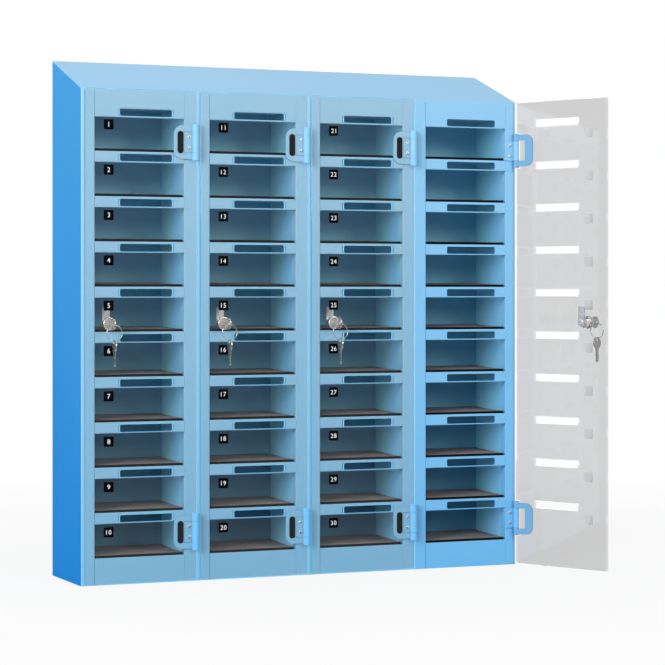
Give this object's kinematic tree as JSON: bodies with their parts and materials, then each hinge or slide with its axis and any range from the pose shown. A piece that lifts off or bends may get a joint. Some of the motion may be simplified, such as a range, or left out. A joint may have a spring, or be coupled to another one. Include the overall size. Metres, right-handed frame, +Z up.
{
  "type": "cell phone locker",
  "caption": "Sheet-steel cabinet of lipped compartments behind clear doors with posting slots, cam locks and number labels; sloping top, one door open.",
  "frame": {"origin": "centre of the cabinet's underside", "axes": "+Z up, doors face -Y, +X to the right seen from the front"},
  "size_m": [0.971, 0.3724, 0.941],
  "materials": {
    "blue_steel": "satin powder coat",
    "hinge": "satin powder coat",
    "mat": "matt foam mat",
    "pin": "bright steel",
    "screw": "bright steel",
    "door": "clear polished acrylic",
    "pad": "black foam tape",
    "label": "printed film",
    "lock": "plated zinc",
    "cam": "zinc plated",
    "key": "nickel plated",
    "ring": "nickel plated"
  },
  "bodies": {
    "cabinet": {"left_side_panel": "blue_steel", "right_side_panel": "blue_steel", "dividers": "blue_steel", "sloping_top": "blue_steel", "back_panel": "blue_steel", "inner_back_panel": "blue_steel", "base_tray": "blue_steel", "header_panels": "blue_steel", "plinth_panels": "blue_steel", "shelves_1": "blue_steel", "shelves_2": "blue_steel", "shelves_3": "blue_steel", "shelves_4": "blue_steel", "mats_1": "mat", "mats_2": "mat", "mats_3": "mat", "mats_4": "mat", "cabinet_hinge_leaves": "hinge", "hinge_pins": "pin", "hinge_screws": "screw"},
    "door_1": {"door_panel_1": "door", "door_hinge_leaves_1": "hinge", "hinge_pads_1": "pad", "number_labels_1": "label", "lock_body_1": "lock"},
    "lock_1": {"lock_plug_1": "lock", "lock_cam_1": "cam", "key_1": "key"},
    "ring_1": {"key_ring_1": "ring"},
    "spare_1": {"spare_key_1": "key"},
    "door_2": {"door_panel_2": "door", "door_hinge_leaves_2": "hinge", "hinge_pads_2": "pad", "number_labels_2": "label", "lock_body_2": "lock"},
    "lock_2": {"lock_plug_2": "lock", "lock_cam_2": "cam", "key_2": "key"},
    "ring_2": {"key_ring_2": "ring"},
    "spare_2": {"spare_key_2": "key"},
    "door_3": {"door_panel_3": "door", "door_hinge_leaves_3": "hinge", "hinge_pads_3": "pad", "number_labels_3": "label", "lock_body_3": "lock"},
    "lock_3": {"lock_plug_3": "lock", "lock_cam_3": "cam", "key_3": "key"},
    "ring_3": {"key_ring_3": "ring"},
    "spare_3": {"spare_key_3": "key"},
    "door_4": {"door_panel_4": "door", "door_hinge_leaves_4": "hinge", "hinge_pads_4": "pad", "number_labels_4": "label", "lock_body_4": "lock"},
    "lock_4": {"lock_plug_4": "lock", "lock_cam_4": "cam", "key_4": "key"},
    "ring_4": {"key_ring_4": "ring"},
    "spare_4": {"spare_key_4": "key"}
  },
  "joints": [
    {"name": "door_hinge_1", "type": "hinge", "parent": "cabinet", "child": "door_1", "pos_m": [-0.2194, -0.0945, 0.439], "axis": [0, 0, 1], "range_deg": [0, 115]},
    {"name": "lock_turn_1", "type": "hinge", "parent": "door_1", "child": "lock_1", "pos_m": [-0.3835, -0.097, 0.462], "axis": [0, -1, 0], "range_deg": [0, 90]},
    {"name": "ring_swing_1", "type": "hinge", "parent": "lock_1", "child": "ring_1", "pos_m": [-0.3835, -0.1284, 0.45995], "axis": [1, 0, 0], "range_deg": [-40, 10]},
    {"name": "spare_key_swing_1", "type": "hinge", "parent": "ring_1", "child": "spare_1", "pos_m": [-0.3835, -0.1284, 0.43195], "axis": [1, 0, 0], "range_deg": [-30, 12]},
    {"name": "door_hinge_2", "type": "hinge", "parent": "cabinet", "child": "door_2", "pos_m": [-0.0034, -0.0945, 0.439], "axis": [0, 0, 1], "range_deg": [0, 115]},
    {"name": "lock_turn_2", "type": "hinge", "parent": "door_2", "child": "lock_2", "pos_m": [-0.1675, -0.097, 0.462], "axis": [0, -1, 0], "range_deg": [0, 90]},
    {"name": "ring_swing_2", "type": "hinge", "parent": "lock_2", "child": "ring_2", "pos_m": [-0.1675, -0.1284, 0.45995], "axis": [1, 0, 0], "range_deg": [-40, 10]},
    {"name": "spare_key_swing_2", "type": "hinge", "parent": "ring_2", "child": "spare_2", "pos_m": [-0.1675, -0.1284, 0.43195], "axis": [1, 0, 0], "range_deg": [-30, 12]},
    {"name": "door_hinge_3", "type": "hinge", "parent": "cabinet", "child": "door_3", "pos_m": [0.2126, -0.0945, 0.439], "axis": [0, 0, 1], "range_deg": [0, 115]},
    {"name": "lock_turn_3", "type": "hinge", "parent": "door_3", "child": "lock_3", "pos_m": [0.0485, -0.097, 0.462], "axis": [0, -1, 0], "range_deg": [0, 90]},
    {"name": "ring_swing_3", "type": "hinge", "parent": "lock_3", "child": "ring_3", "pos_m": [0.0485, -0.1284, 0.45995], "axis": [1, 0, 0], "range_deg": [-40, 10]},
    {"name": "spare_key_swing_3", "type": "hinge", "parent": "ring_3", "child": "spare_3", "pos_m": [0.0485, -0.1284, 0.43195], "axis": [1, 0, 0], "range_deg": [-30, 12]},
    {"name": "door_hinge_4", "type": "hinge", "parent": "cabinet", "child": "door_4", "pos_m": [0.4286, -0.0945, 0.439], "axis": [0, 0, 1], "range_deg": [-115, 45]},
    {"name": "lock_turn_4", "type": "hinge", "parent": "door_4", "child": "lock_4", "pos_m": [0.50022, -0.24217, 0.462], "axis": [0.9063, 0.4226, 0], "range_deg": [0, 90]},
    {"name": "ring_swing_4", "type": "hinge", "parent": "lock_4", "child": "ring_4", "pos_m": [0.52868, -0.2289, 0.45995], "axis": [-0.4226, 0.9063, 0], "range_deg": [-40, 10]},
    {"name": "spare_key_swing_4", "type": "hinge", "parent": "ring_4", "child": "spare_4", "pos_m": [0.52868, -0.2289, 0.43195], "axis": [-0.4226, 0.9063, 0], "range_deg": [-30, 12]}
  ]
}
